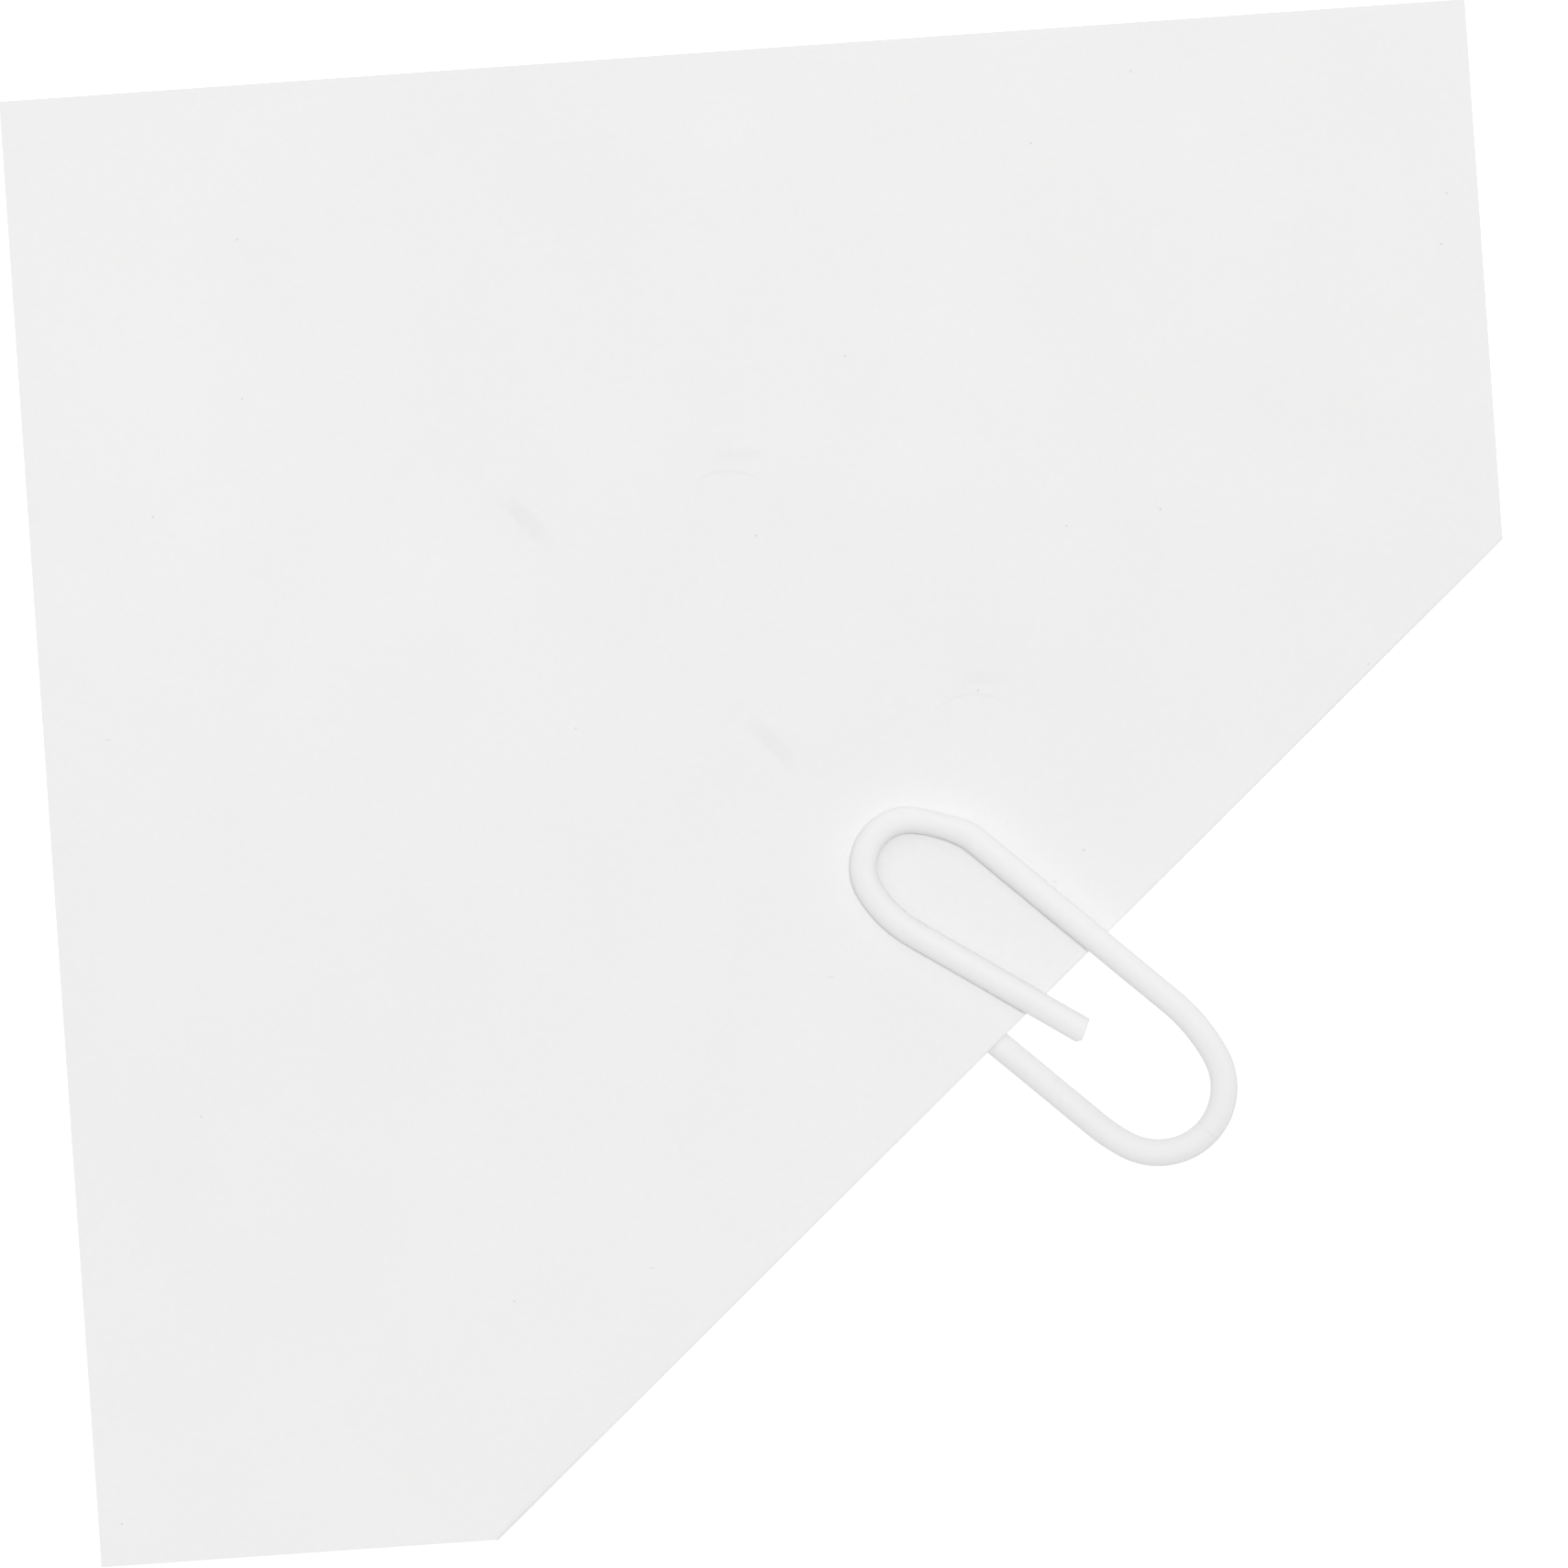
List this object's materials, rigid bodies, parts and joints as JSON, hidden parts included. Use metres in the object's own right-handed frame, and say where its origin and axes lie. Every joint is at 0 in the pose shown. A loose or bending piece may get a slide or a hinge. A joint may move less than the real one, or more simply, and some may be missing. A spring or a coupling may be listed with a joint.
{
  "type": "square note sheet with folded corner and wire clip",
  "caption": "Square white paper note with one corner folded flat behind it, held at the fold by a plastic-coated wire paper clip that slides off and springs open.",
  "frame": {"origin": "under the centre of the square note, level with the lowest side of the clip's rear loop", "axes": "+X along the note's top edge to the right, +Y up its left edge, +Z out of its front face"},
  "size_m": [0.076, 0.076, 0.0031],
  "materials": {
    "paper": "matte",
    "steel_wire": "satin",
    "white_coating": "satin"
  },
  "bodies": {
    "note": {"note_sheet": "paper"},
    "corner": {"folded_corner": "paper"},
    "clip_front": {"clip_core_front": "steel_wire", "clip_coating_front": "white_coating"},
    "clip_rear": {"clip_core_rear": "steel_wire", "clip_coating_rear": "white_coating"}
  },
  "joints": [
    {"name": "clip_slide", "type": "slide", "parent": "note", "child": "clip_front", "axis": [0.7255, -0.6883, 0], "range_m": [-0.0065, 0.025]},
    {"name": "flap_fold", "type": "hinge", "parent": "note", "child": "corner", "pos_m": [0.01022, -0.01391, 0.00157], "axis": [-0.7558, -0.6548, 0], "range_deg": [0, 12]},
    {"name": "clip_spread", "type": "hinge", "parent": "clip_front", "child": "clip_rear", "pos_m": [0.02074, -0.01938, 0.00154], "axis": [-0.6699, -0.7061, -0.2297], "range_deg": [0, 11], "stiffness_Nm_per_rad": 0.15}
  ],
  "couplings": [
    {"joint": "clip_spread", "follows": "flap_fold", "ratio": 0.88}
  ]
}
